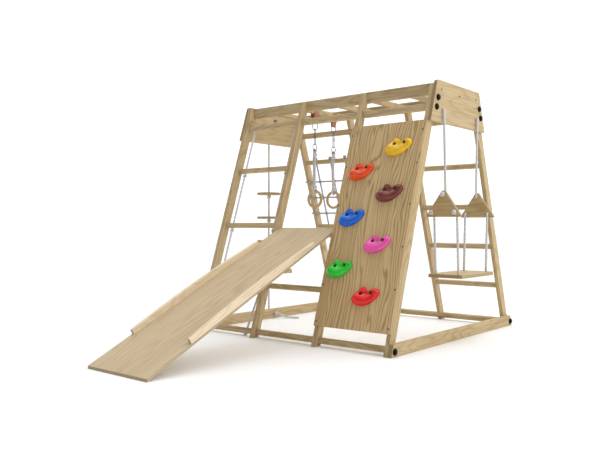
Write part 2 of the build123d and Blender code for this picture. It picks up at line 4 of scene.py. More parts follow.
import bpy
import numpy as np
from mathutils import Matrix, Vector


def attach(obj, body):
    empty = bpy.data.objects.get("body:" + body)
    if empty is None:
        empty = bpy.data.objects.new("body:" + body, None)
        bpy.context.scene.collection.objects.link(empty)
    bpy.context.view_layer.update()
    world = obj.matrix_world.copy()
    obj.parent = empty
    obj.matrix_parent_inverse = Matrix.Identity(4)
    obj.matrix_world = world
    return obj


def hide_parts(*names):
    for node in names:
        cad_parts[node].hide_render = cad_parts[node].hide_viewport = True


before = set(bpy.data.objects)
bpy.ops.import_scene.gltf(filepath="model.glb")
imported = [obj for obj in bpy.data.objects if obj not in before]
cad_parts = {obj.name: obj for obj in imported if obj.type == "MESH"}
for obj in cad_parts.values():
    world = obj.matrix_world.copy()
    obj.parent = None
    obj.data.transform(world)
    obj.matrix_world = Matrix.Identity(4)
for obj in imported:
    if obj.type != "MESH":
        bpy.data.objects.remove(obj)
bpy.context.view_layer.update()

# ------------------------------------------------------------------ the frame's own sizes (mm)
SHIFT_Y = 173.5          # the front plane of the posts is this far in front of the origin
LEAN = radians(18.25)
BASE_DEPTH = 1312.0
MID_Y = BASE_DEPTH / 2
POST_PITCH = 409.0
POST_T, POST_D = 22.0, 48.0
GABLE_T, PLANK_T = 18.0, 22.0
POST_X = [POST_PITCH * (i - 1.5) for i in range(4)]
OUTER_X = POST_X[3] + POST_T / 2
GABLE_X = OUTER_X + GABLE_T
PLANK_X = OUTER_X + PLANK_T
PANEL_T = 12.0
RUNG_B = 30.0            # depth of a rung's middle behind the face of the posts
SWING_X = GABLE_X + 10.0
SWING_HALF = 186.0
DISC_X = -(GABLE_X + 31.5)
SLIDE_ANGLE = math.atan2(557.0, 1182.0)
UP_FRONT = (0, sin(LEAN), cos(LEAN))
UP_BACK = (0, -sin(LEAN), cos(LEAN))
FRONT_OUT = (0, -cos(LEAN), sin(LEAN))


def along(z, b):
    """Distance up the leaning face to height z at depth b behind it."""
    return (z + b * sin(LEAN)) / cos(LEAN)


def face_y(z, b):
    """Y of the front frame at height z and depth b behind its face."""
    return along(z, b) * sin(LEAN) + b * cos(LEAN)


def row(x, y, z):
    """A point of the part in the row frame, in metres."""
    return Vector((x, y - SHIFT_Y, z)) / 1000


# ------------------------------------------------------------------ camera
FOCAL, IMAGE_WIDTH = 683.1, 600      # both in pixels
SENSOR_WIDTH = 36
CAMERA_AT = (2245.3, -2550.2, 583.5)
CAMERA_TURN = (90.0, 0.0, 39.71)     # degrees: level, turned to the left of +Y
cam_data = bpy.data.cameras.new("camera")
cam_data.lens = FOCAL / IMAGE_WIDTH * SENSOR_WIDTH
cam_data.sensor_width = SENSOR_WIDTH
camera = bpy.data.objects.new("camera", cam_data)
camera.location = row(*CAMERA_AT)
camera.rotation_euler = [radians(a) for a in CAMERA_TURN]
bpy.context.scene.collection.objects.link(camera)
bpy.context.scene.camera = camera


# ------------------------------------------------------------------ material kit
class Graph:
    """Small helper for building a node tree."""

    def __init__(self, name):
        self.mat = bpy.data.materials.new(name)
        self.mat.use_nodes = True
        self.tree = self.mat.node_tree
        self.bsdf = self.tree.nodes["Principled BSDF"]

    def put(self, socket, value):
        if isinstance(value, bpy.types.NodeSocket):
            self.tree.links.new(value, socket)
        else:
            socket.default_value = value

    def node(self, kind, ins=None, **settings):
        n = self.tree.nodes.new("ShaderNode" + kind)
        for key, value in settings.items():
            setattr(n, key, value)
        for key, value in (ins or {}).items():
            self.put(n.inputs[key], value)
        return n

    def math(self, op, a, b=0.0, c=0.0, clamp=False):
        n = self.node("Math", {0: a, 1: b, 2: c}, operation=op, use_clamp=clamp)
        return n.outputs[0]

    def mapped(self, vector, rotation=(0, 0, 0), scale=(1, 1, 1), location=(0, 0, 0)):
        n = self.node("Mapping", {"Vector": vector, "Rotation": rotation, "Scale": scale,
                                  "Location": location})
        return n.outputs[0]

    def noise(self, vector, scale, detail=2.0, rough=0.5, distortion=0.0):
        n = self.node("TexNoise", {"Vector": vector, "Scale": scale, "Detail": detail,
                                   "Roughness": rough, "Distortion": distortion})
        return n.outputs["Fac"]

    def ramp(self, value, low, high):
        n = self.node("MapRange", {"Value": value, "From Min": low, "From Max": high},
                      interpolation_type="SMOOTHSTEP")
        return n.outputs[0]

    def mix(self, factor, a, b):
        n = self.node("Mix", None, data_type="RGBA", blend_type="MIX")
        self.put(n.inputs[0], factor)
        self.put(n.inputs[6], a)
        self.put(n.inputs[7], b)
        return n.outputs[2]

    def bump(self, height, strength, distance):
        n = self.node("Bump", {"Height": height, "Strength": strength, "Distance": distance})
        self.put(self.bsdf.inputs["Normal"], n.outputs[0])

    def finish(self, color, rough, **more):
        self.put(self.bsdf.inputs["Base Color"], color)
        self.put(self.bsdf.inputs["Roughness"], rough)
        for key, value in more.items():
            self.put(self.bsdf.inputs[key.replace("_", " ")], value)
        return self.mat


def rgba(c):
    return (c[0], c[1], c[2], 1.0)


def shade(c, k):
    return tuple(x * k for x in c)


PALE = (0.555, 0.428, 0.248)
BROWN = (0.325, 0.222, 0.094)
SLIDE_PALE = (0.60, 0.475, 0.31)
SLIDE_BROWN = (0.41, 0.31, 0.175)
SIDE_PALE = (0.80, 0.67, 0.48)
SIDE_BROWN = (0.56, 0.43, 0.27)
KNOT = (0.16, 0.085, 0.04)
PLY_PALE = (0.65, 0.47, 0.248)
PLY_BROWN = (0.33, 0.212, 0.092)


def wood(name, grain, seed, light=PALE, dark=BROWN, figure=0.45, rings=16.0, wavy=1.3, knots=0.0, ply=None,
         lines=0.0):
    """Sawn and lacquered wood whose fibres run along grain.

    figure is the strength of the ring lines, rings and wavy their number and waviness, lines adds that
    many straight ones per metre across the grain, and ply is (face normal, layer pitch in metres).
    """
    g = Graph(name)
    where = g.node("TexCoord").outputs["Object"]
    normal = g.node("TexCoord").outputs["Normal"]
    turn = Vector(grain).normalized().rotation_difference(Vector((0, 0, 1))).to_euler()
    base = g.mapped(where, rotation=tuple(turn), location=(seed * 1.37, seed * 0.71, seed * 0.53))
    broad = g.noise(g.mapped(base, scale=(5.0, 5.0, 0.55)), 1.0, 2.0)
    wave = g.noise(g.mapped(base, scale=(9.0, 9.0, wavy)), 1.0, 2.5, 0.45, 0.25)
    across = g.node("SeparateXYZ", {"Vector": base}).outputs["X"]
    contour = g.math("PINGPONG", g.math("MULTIPLY_ADD", across, lines, g.math("MULTIPLY", wave, rings)), 0.5)
    line = g.ramp(contour, 0.20, 0.49)
    streak = g.noise(g.mapped(base, scale=(95.0, 95.0, 1.3)), 1.0, 4.0, 0.6)
    fibre = g.noise(g.mapped(base, scale=(520.0, 520.0, 9.0)), 1.0, 3.0, 0.6)
    tone = g.math("ADD", g.math("MULTIPLY", g.ramp(streak, 0.32, 0.72), 0.40),
                  g.math("MULTIPLY", line, figure))
    tone = g.math("ADD", tone, g.math("MULTIPLY_ADD", fibre, 0.30, -0.13))
    tone = g.math("ADD", tone, g.math("MULTIPLY_ADD", broad, 0.7, -0.42), clamp=True)
    color = g.mix(tone, rgba(light), rgba(dark))
    pores = g.ramp(g.noise(g.mapped(base, scale=(800.0, 800.0, 40.0)), 1.0, 2.0), 0.66, 0.74)
    color = g.mix(g.math("MULTIPLY", pores, 0.30), color, rgba(shade(dark, 0.55)))
    if knots > 0:
        cells = g.node("TexVoronoi", {"Vector": g.mapped(base, scale=(5.5, 5.5, 3.0)), "Scale": 1.0,
                                      "Randomness": 1.0})
        spot = g.math("SUBTRACT", 1.0, g.ramp(cells.outputs["Distance"], 0.02, 0.02 + knots))
        halo = g.math("SUBTRACT", 1.0, g.ramp(cells.outputs["Distance"], 0.03, 0.10 + knots))
        color = g.mix(g.math("MULTIPLY", halo, 0.35), color, rgba(dark))
        color = g.mix(g.math("MULTIPLY", spot, 0.85), color, rgba(KNOT))
    facing = g.node("VectorMath", {0: normal, 1: tuple(Vector(grain).normalized())}, operation="DOT_PRODUCT")
    end = g.ramp(g.math("ABSOLUTE", facing.outputs["Value"]), 0.75, 0.95)
    speckle = g.noise(where, 900.0, 2.0)
    end_color = g.mix(speckle, rgba(shade(dark, 1.05)), rgba(shade(dark, 0.55)))
    color = g.mix(g.math("MULTIPLY", end, 0.75), color, end_color)
    if ply:
        face, pitch = ply
        flat = g.node("VectorMath", {0: normal, 1: tuple(Vector(face).normalized())}, operation="DOT_PRODUCT")
        edge = g.math("SUBTRACT", 1.0, g.ramp(g.math("ABSOLUTE", flat.outputs["Value"]), 0.35, 0.75))
        depth = g.node("VectorMath", {0: where, 1: tuple(Vector(face).normalized())}, operation="DOT_PRODUCT")
        layer = g.math("PINGPONG", g.math("DIVIDE", depth.outputs["Value"], pitch), 0.5)
        layer = g.ramp(layer, 0.18, 0.32)
        ply_color = g.mix(layer, rgba(shade(light, 0.95)), rgba(shade(dark, 0.72)))
        color = g.mix(g.math("MULTIPLY", edge, 0.8), color, ply_color)
    g.bump(g.math("ADD", g.math("MULTIPLY", fibre, 0.55), g.math("MULTIPLY", line, 0.35)), 0.30, 0.0006)
    rough = g.math("MULTIPLY_ADD", fibre, 0.22, 0.46)
    return g.finish(color, rough, Specular_IOR_Level=0.12, Coat_Weight=0.02, Coat_Roughness=0.4)


def rope_material(name, color):
    """Braided fibre rope: painted shade between the strands, with a fine fuzz."""
    g = Graph(name)
    where = g.node("TexCoord").outputs["Object"]
    lay = g.node("Attribute", attribute_name="lay").outputs["Fac"]
    fuzz = g.noise(where, 1900.0, 3.0, 0.7)
    dirt = g.ramp(g.noise(where, 14.0, 3.0), 0.45, 0.75)
    # painted shade: the colour darkens from the strands' crests into the grooves between them
    tint = g.mix(g.ramp(lay, 0.15, 0.8), rgba(shade(color, 0.52)), rgba(color))
    tint = g.mix(g.math("MULTIPLY", fuzz, 0.30), tint, rgba(shade(color, 0.78)))
    soiled = (color[0] * 0.88, color[1] * 0.84, color[2] * 0.78)
    tint = g.mix(g.math("MULTIPLY", dirt, 0.16), tint, rgba(soiled))
    g.bump(fuzz, 0.45, 0.0006)
    return g.finish(tint, 0.85, Sheen_Weight=0.25, Sheen_Roughness=0.5)


def web_material(name, color):
    """Woven webbing, with ribs across its width, painted shade between them and painted highlight on them."""
    g = Graph(name)
    where = g.node("TexCoord").outputs["Object"]
    ribs = g.node("TexWave", {"Vector": where, "Scale": 190.0, "Distortion": 0.6, "Detail": 1.0},
                  bands_direction="Z")
    cords = g.node("TexWave", {"Vector": where, "Scale": 150.0, "Distortion": 0.4}, bands_direction="Y")
    weave = g.math("MULTIPLY", ribs.outputs["Fac"], cords.outputs["Fac"])
    fuzz = g.noise(where, 1500.0, 2.0)
    # painted shade in the troughs of the weave and painted highlight on its ribs
    tint = g.mix(weave, rgba(shade(color, 0.55)), rgba(shade(color, 1.25)))
    tint = g.mix(g.math("MULTIPLY", fuzz, 0.35), tint, rgba(shade(color, 0.7)))
    g.bump(weave, 0.6, 0.0007)
    return g.finish(tint, 0.62, Sheen_Weight=0.3)


def plastic(name, color, gloss=0.22, shine=0.36):
    """Glossy moulded resin with a faint orange-peel surface and mottled tint."""
    g = Graph(name)
    where = g.node("TexCoord").outputs["Object"]
    peel = g.noise(where, 420.0, 2.0)
    cloud = g.noise(where, 24.0, 3.0)
    tint = g.mix(g.ramp(cloud, 0.35, 0.7), rgba(color), rgba(shade(color, 0.80)))
    scuff = g.ramp(g.noise(where, 90.0, 4.0, 0.7), 0.60, 0.75)
    g.bump(peel, 0.12, 0.0008)
    rough = g.math("MULTIPLY_ADD", scuff, 0.2, 0.24)
    return g.finish(tint, rough, Specular_IOR_Level=shine, Coat_Weight=gloss, Coat_Roughness=0.1)


def metal(name, color, rough):
    """Zinc-plated steel with fine scratches."""
    g = Graph(name)
    where = g.node("TexCoord").outputs["Object"]
    scratch = g.noise(g.mapped(where, scale=(60.0, 60.0, 900.0)), 1.0, 3.0)
    spots = g.noise(where, 260.0, 3.0)
    tint = g.mix(g.math("MULTIPLY", spots, 0.5), rgba(color), rgba(shade(color, 0.7)))
    g.bump(scratch, 0.10, 0.0003)
    return g.finish(tint, g.math("MULTIPLY_ADD", spots, 0.2, rough), Metallic=1.0)


ROPE_WHITE = (0.68, 0.685, 0.71)
M_ROPE = rope_material("rope_cotton", ROPE_WHITE)
# the net's rope is the white rope darkened as painted shade, for its side turned away from the light
M_NET_PAINTED_SHADE = rope_material("rope_net_painted_shade", (0.42, 0.425, 0.46))
M_WEB = web_material("webbing_copper_brown", (0.54, 0.205, 0.08))
M_STEEL = metal("zinc_steel", (0.22, 0.225, 0.25), 0.26)
M_SCREW = metal("screw_black", (0.035, 0.03, 0.027), 0.4)
M_HEAD = metal("bolt_head_dark", (0.085, 0.06, 0.045), 0.34)
M_CAP = plastic("cap_black", (0.003, 0.002, 0.002), 0.0, 0.12)
M_STITCH = rope_material("stitch_thread", (0.55, 0.35, 0.20))

# ------------------------------------------------------------------ wood on the CAD nodes
SLIDE_DIR = (0, cos(SLIDE_ANGLE), sin(SLIDE_ANGLE))
SLIDE_UP = (0, -sin(SLIDE_ANGLE), cos(SLIDE_ANGLE))
X_DIR, Y_DIR, Z_DIR = (1, 0, 0), (0, 1, 0), (0, 0, 1)


def dress(node, mat):
    """Gives a CAD node its material."""
    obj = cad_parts[node]
    obj.data.materials.clear()
    obj.data.materials.append(mat)


for i in range(4):
    dress(f"post_front_{i + 1}", wood(f"pine_front_{i + 1}", UP_FRONT, 1.0 + i, knots=0.035))
    dress(f"post_back_{i + 1}", wood(f"pine_back_{i + 1}", UP_BACK, 6.0 + i, knots=0.035))
m_beam = wood("pine_beams", X_DIR, 11.0, knots=0.03)
m_rail = wood("pine_rails", X_DIR, 12.0, knots=0.025)
m_rung = wood("pine_rungs", X_DIR, 13.0)
m_bar = wood("pine_bars", Y_DIR, 14.0)
dress("top_beams", m_beam)
for node in ("hand_rails", "base_rails"):
    dress(node, m_rail)
for node in ("rope_ladder_rungs", "slide_bay_rungs", "back_rungs"):
    dress(node, m_rung)
dress("monkey_bars", m_bar)
m_gable = wood("board_gable", Y_DIR, 15.0, figure=0.28, rings=10.0)
dress("gable_board_right", m_gable)
dress("gable_board_left", m_gable)
m_plank = wood("board_plank", Y_DIR, 16.0, figure=0.35, knots=0.03)
dress("end_plank_right", m_plank)
dress("end_plank_left", m_plank)
PANEL_PLY, SLIDE_PLY, SMALL_PLY = 0.0024, 0.0022, 0.0030     # layer pitch of the plywood edges, in metres
m_panel = wood("plywood_panel", UP_FRONT, 17.0, PLY_PALE, PLY_BROWN, figure=0.72, rings=12.0, wavy=1.6,
               lines=62.0, knots=0.02, ply=(FRONT_OUT, PANEL_PLY))
dress("climbing_panel", m_panel)
m_bed = wood("plywood_slide", SLIDE_DIR, 18.0, SLIDE_PALE, SLIDE_BROWN, figure=0.34, rings=10.0,
             lines=24.0, ply=(SLIDE_UP, SLIDE_PLY))
dress("slide_bed", m_bed)
m_sides = wood("board_slide_sides", SLIDE_DIR, 19.0, SIDE_PALE, SIDE_BROWN, figure=0.3)
dress("slide_sides", m_sides)
dress("slide_battens", wood("pine_battens", SLIDE_DIR, 20.0))
m_seat = wood("plywood_seat", Y_DIR, 21.0, figure=0.4, ply=(Z_DIR, SMALL_PLY))
dress("swing_seat", m_seat)
m_spreaders = wood("plywood_spreaders", X_DIR, 22.0, figure=0.4, ply=(Y_DIR, SMALL_PLY))
dress("swing_spreaders", m_spreaders)
for i in range(4):
    m_disc = wood(f"plywood_disc_{i + 1}", X_DIR, 23.0 + i, figure=0.4, ply=(Z_DIR, SMALL_PLY))
    dress(f"rope_disc_{i + 1}", m_disc)


# ------------------------------------------------------------------ mesh kit
class Mesh:
    """Collects vertices, faces and the rope's lay value, in millimetres of the part."""

    def __init__(self):
        self.verts, self.faces, self.lay, self.count = [], [], [], 0

    def add(self, verts, faces, lay=None):
        verts = np.asarray(verts, float).reshape(-1, 3)
        self.verts.append(verts)
        self.lay.append(np.full(len(verts), 1.0) if lay is None else np.asarray(lay, float).ravel())
        self.faces += [[i + self.count for i in f] for f in faces]
        self.count += len(verts)

    def build(self, name, mat, slot, body):
        """One smooth-shaded object of all that was added, riding on the body."""
        verts = np.vstack(self.verts)
        verts[:, 1] -= SHIFT_Y
        mesh = bpy.data.meshes.new(name)
        mesh.from_pydata((verts / 1000).tolist(), [], self.faces)
        lay = np.concatenate(self.lay).astype(np.float32)
        mesh.attributes.new("lay", "FLOAT", "POINT").data.foreach_set("value", lay)
        mesh.polygons.foreach_set("use_smooth", [True] * len(mesh.polygons))
        mesh.materials.append(mat)
        mesh.update()
        obj = bpy.data.objects.new(name, mesh)
        bpy.context.scene.collection.objects.link(obj)
        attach(obj, body)
        return obj


def spaced(points, step, closed=False):
    """The points of a polyline, respaced evenly, and its length."""
    pts = np.asarray(points, float)
    if closed:
        pts = np.vstack([pts, pts[:1]])
    run = np.r_[0, np.cumsum(np.linalg.norm(np.diff(pts, axis=0), axis=1))]
    n = max(2, int(round(run[-1] / step)))
    at = np.linspace(0, run[-1], n + 1)
    if closed:
        at = at[:-1]
    return np.column_stack([np.interp(at, run, pts[:, k]) for k in range(3)]), run[-1]


def frames(pts, closed):
    """Two normals at each point of a line, carried along without twist."""
    if closed:
        tangent = np.roll(pts, -1, 0) - np.roll(pts, 1, 0)
    else:
        tangent = np.gradient(pts, axis=0)
    tangent /= np.linalg.norm(tangent, axis=1)[:, None]
    side = np.cross(tangent[0], (0.0, 0.0, 1.0) if abs(tangent[0][2]) < 0.9 else (1.0, 0.0, 0.0))
    sides = [side / np.linalg.norm(side)]
    for t in tangent[1:]:
        s = sides[-1] - t * np.dot(sides[-1], t)
        sides.append(s / np.linalg.norm(s))
    sides = np.array(sides)
    return sides, np.cross(tangent, sides)


def tube(mesh, points, d, step=None, around=12, closed=False, braided=False, depth=0.13):
    """A round wire or a braided rope along the points; returns its length."""
    step = step or (d * 0.24 if braided else d * 0.5)
    pts, length = spaced(points, step, closed)
    one, two = frames(pts, closed)
    n = len(pts)
    around = 24 if braided else around
    theta = np.arange(around) * 2 * pi / around
    s = np.linspace(0, length, n)[:, None]
    lay = np.ones((n, around))
    if braided:
        turns = max(1, round(length / (d * 2.1)))
        phase = 2 * pi * turns * s / length
        lay = np.maximum(np.cos(4 * theta + phase), np.cos(4 * theta - phase)) * 0.5 + 0.5
    radius = d / 2 * (1 - depth * (1 - lay)) if braided else np.full((n, around), d / 2)
    ring = pts[:, None, :] + radius[..., None] * (
        np.cos(theta)[None, :, None] * one[:, None, :] + np.sin(theta)[None, :, None] * two[:, None, :])
    faces = []
    for i in range(n if closed else n - 1):
        a, b = i * around, ((i + 1) % n) * around
        for j in range(around):
            k = (j + 1) % around
            faces.append([a + j, a + k, b + k, b + j])
    if not closed:
        faces.append(list(range(around))[::-1])
        faces.append(list(range((n - 1) * around, n * around)))
    mesh.add(ring.reshape(-1, 3), faces, lay)
    return length


def place(local, centre, axis):
    """Local points, with local Z turned to the axis, at the centre."""
    turn = np.array(Vector((0, 0, 1)).rotation_difference(Vector(axis)).to_matrix())
    return np.asarray(local) @ turn.T + np.asarray(centre, float)


def angles(n):
    """n angles evenly round a turn."""
    return np.linspace(0, 2 * pi, n + 1)[:-1]


def knot(mesh, centre, axis, d, size, height):
    """An overhand knot: a trefoil of rope pulled tight."""
    t = angles(72)
    wide, tall = (size - d) / 6, (height - d) / 2
    local = np.column_stack([wide * (np.sin(t) + 2 * np.sin(2 * t)), wide * (np.cos(t) - 2 * np.cos(2 * t)),
                             -tall * np.sin(3 * t)])
    tube(mesh, place(local, centre, axis), d, closed=True, braided=True, depth=0.10)


def ring_of(mesh, centre, axis, radius, d, braided=True, squeeze=1.0):
    """A closed round turn of rope or wire."""
    t = angles(48)
    local = np.column_stack([radius * np.cos(t), radius * squeeze * np.sin(t), 0 * t])
    tube(mesh, place(local, centre, axis), d, closed=True, braided=braided, around=16, depth=0.10)


def lathe(mesh, profile, centre, axis, segments, hexed=()):
    """A turned shape from (radius, height) pairs; profile points listed in hexed follow a hexagon."""
    theta = np.arange(segments) * 2 * pi / segments
    hexagon = 1 / np.cos((theta % (pi / 3)) - pi / 6) * cos(pi / 6)
    verts, faces = [], []
    for i, (r, h) in enumerate(profile):
        k = hexagon if i in hexed else np.ones(segments)
        verts.append(np.column_stack([r * k * np.cos(theta), r * k * np.sin(theta), np.full(segments, h)]))
    for i in range(len(profile) - 1):
        a, b = i * segments, (i + 1) * segments
        for j in range(segments):
            m = (j + 1) % segments
            faces.append([a + j, a + m, b + m, b + j])
    faces.append(list(range(segments))[::-1])
    last = (len(profile) - 1) * segments
    faces.append(list(range(last, last + segments)))
    mesh.add(place(np.vstack(verts), centre, axis), faces)


ARC_STEPS = 12


def rounded(points, radii):
    """A polyline whose corners are replaced by arcs of the given radii."""
    pts = [np.array(p, float) for p in points]
    out = [pts[0]]
    for p0, p1, p2, r in zip(pts, pts[1:], pts[2:], radii):
        a, b = (p0 - p1) / np.linalg.norm(p0 - p1), (p2 - p1) / np.linalg.norm(p2 - p1)
        half = math.acos(max(-1, min(1, float(a @ b)))) / 2
        back = r / tan(half)
        middle = (a + b) / np.linalg.norm(a + b)
        centre = p1 + middle * r / sin(half)
        start, end = p1 + a * back - centre, p1 + b * back - centre
        angle = math.acos(max(-1, min(1, float(start @ end) / r / r)))
        for k in range(ARC_STEPS + 1):
            f = k / ARC_STEPS
            out.append(centre + (start * sin((1 - f) * angle) + end * sin(f * angle)) / sin(angle))
    out.append(pts[-1])
    return out


WIDEST_BEND, LEG_SHARE = 60.0, 0.45


def corner_radii(points, first):
    """Arc radii at a route's inner points: the first as given, the others as wide as their legs allow."""
    radii = []
    for p0, p1, p2 in zip(points, points[1:], points[2:]):
        a, b = Vector(p1) - Vector(p0), Vector(p2) - Vector(p1)
        radii.append(min(WIDEST_BEND, LEG_SHARE * min(a.length, b.length) / tan(a.angle(b) / 2)))
    return [first] + radii[1:]


def rope(node, points, d, body, knots, loops=(), strands=()):
    """A rope in place of its CAD node, with its knots as one piece on it; returns its length.

    knots are (centre, axis, size, height), loops (centre, axis, radius, squeeze) and strands more lines.
    """
    mesh = Mesh()
    length = tube(mesh, points, d, braided=True)
    obj = mesh.build(node + "_braid", M_ROPE, "rope", body)
    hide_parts(node)
    extra = Mesh()
    for centre, axis, size, height in knots:
        knot(extra, centre, axis, d, size, height)
    for centre, axis, radius, squeeze in loops:
        ring_of(extra, centre, axis, radius, d, squeeze=squeeze)
    for line in strands:
        tube(extra, line, d, braided=True)
    pieces = [extra.build(node + "_knots", M_ROPE, "rope", body)]
    return length


# ------------------------------------------------------------------ rope ladder
LADDER_D = 11.0
LADDER_ROPES = ((-557.0, -557.0, "left"), (-240.0, -276.0, "right"))     # X at the rail, X at the foot
LADDER_Z = (898.0, 581.0, 263.0)
RAIL_Z = 1160.0
LADDER_END_Z = 6.0
LADDER_BEND_Z, LADDER_BEND_R = 245.0, 60.0       # where the right rope turns towards its foot
UNDER_RUNG = 27.0                                # a knot's middle below its rung's middle
FOOT_KNOT_Z = 9.0


def on_face(x, z):
    """A point in the plane of the front rungs."""
    return (x, face_y(z, RUNG_B), z)


for x, foot_x, tag in LADDER_ROPES:
    knots = [(on_face(x, z - UNDER_RUNG), UP_FRONT, 25.0, 22.0) for z in LADDER_Z]
    knots.append((on_face(foot_x, FOOT_KNOT_Z), Z_DIR, 25.0, 15.0))
    line = [on_face(x, RAIL_Z), on_face(x, LADDER_END_Z)]
    if foot_x != x:
        line = rounded([line[0], on_face(x, LADDER_BEND_Z), on_face(foot_x, LADDER_END_Z)], [LADDER_BEND_R])
    rope(f"ladder_rope_{tag}", line, LADDER_D, "climbing_frame", knots)

# ------------------------------------------------------------------ disc rope
DISC_D = 12.0
DISC_Z = (781.0, 630.0, 480.0, 330.0)
EYE_Z = 1238.0
EXIT_Z = 30.0
ROPE_START = 14.3        # the rope's top below the middle of the bolt's eye
UNDER_DISC = 20.0        # a knot's middle below its disc's middle
route = [(DISC_X, MID_Y, EYE_Z - ROPE_START), (DISC_X, MID_Y, EXIT_Z), (-OUTER_X + 34, MID_Y, EXIT_Z),
         (-OUTER_X + 66, MID_Y + 16, 11.0), (-OUTER_X + 106, MID_Y + 40, 7.5),
         (-OUTER_X + 150, MID_Y + 58, 7.5)]
disc_path = rounded(route, corner_radii(route, first=24.0))
disc_knots = [((DISC_X, MID_Y, z - UNDER_DISC), Z_DIR, 28.0, 24.0) for z in DISC_Z]
disc_knots.append(((DISC_X, MID_Y, EYE_Z - 34), Z_DIR, 27.0, 24.0))
disc_knots.append(((-OUTER_X + 15, MID_Y, EXIT_Z), X_DIR, 27.0, 26.0))
rope("disc_rope", disc_path, DISC_D, "climbing_frame", disc_knots,
                       [((DISC_X, MID_Y, EYE_Z - 13), X_DIR, 9.5, 1.2)])

# ------------------------------------------------------------------ swing
SWING_D = 12.0
HOLE_Z = 1152.0
SEAT_TOP = 341.0
SEAT_ROPE_X, SEAT_ROPE_Y = 62.0, 155.0
HOLE_LOW, HOLE_HIGH = 645.0, 733.0
ROPE_OFF = 16.1          # rope's middle inside the middle of the spreader board
KNOT_OFF = 15.0          # rope's end outside the middle of the spreader board
SPREADER_BEND_R, GABLE_BEND_R = 7.0, 9.0
for side, tag in ((-1, "front"), (1, "rear")):
    y = MID_Y + side * SWING_HALF
    inner, outer = y - side * ROPE_OFF, y + side * KNOT_OFF
    line = rounded([(SWING_X, y, HOLE_Z), (SWING_X, inner, HOLE_HIGH), (SWING_X, outer, HOLE_HIGH)],
                   [SPREADER_BEND_R])
    rope(f"swing_rope_{tag}", line, SWING_D, "swing",
                                   [((SWING_X, outer + side * 3, HOLE_HIGH), Y_DIR, 28.0, 20.0)])
    for turn, name in ((-1, "inner"), (1, "outer")):
        x = SWING_X + turn * SEAT_ROPE_X
        low = (x, MID_Y + side * SEAT_ROPE_Y, SEAT_TOP)
        line = rounded([(x, outer, HOLE_LOW), (x, inner, HOLE_LOW), low], [SPREADER_BEND_R])
        rope(f"seat_rope_{tag}_{name}", line, SWING_D, "swing",
                                             [((x, outer + side * 3, HOLE_LOW), Y_DIR, 28.0, 20.0)])

stubs = Mesh()
for side in (-1, 1):
    y = MID_Y + side * SWING_HALF
    bend = rounded([(OUTER_X - 4, y, HOLE_Z), (SWING_X, y, HOLE_Z), (SWING_X, y, HOLE_Z - 12)],
                   [GABLE_BEND_R])
    tube(stubs, bend, SWING_D, braided=True)
    knot(stubs, (OUTER_X - 12, y, HOLE_Z), X_DIR, SWING_D, 28.0, 23.0)
stub_obj = stubs.build("swing_rope_ends", M_ROPE, "rope", "climbing_frame")
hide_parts("swing_rope_stubs")

# ------------------------------------------------------------------ rings
RING_X = -230.0
RING_HALF = 90.0
RING_ROPE_D = 12.0
EYE_CENTRE_Z, EYE_RADIUS = 1036.0, 18.6
GYM_Z, GYM_R, GYM_D = 734.0, 46.5, 15.0
GYM_STEPS, GYM_SIDES = 128, 32       # of the ring's mesh, round the ring and round its section
GYM_FULL = 0.985                     # the section's size against its box
D_BAR_Z = 1176.0
D_HALF, D_HEIGHT = 23.0, 38.0
BAR_LOW, BAR_HIGH = 1230.0, 1258.0
WIRE = 4.0
LINK_HALF = 4.6
RING_PALE, RING_BROWN = (0.62, 0.47, 0.27), (0.42, 0.27, 0.13)


def band_faces(steps, sides):
    """The faces of a closed band: steps along it, sides round its section."""
    return [[i * sides + j, i * sides + (j + 1) % sides,
             (i + 1) % steps * sides + (j + 1) % sides, (i + 1) % steps * sides + j]
            for i in range(steps) for j in range(sides)]


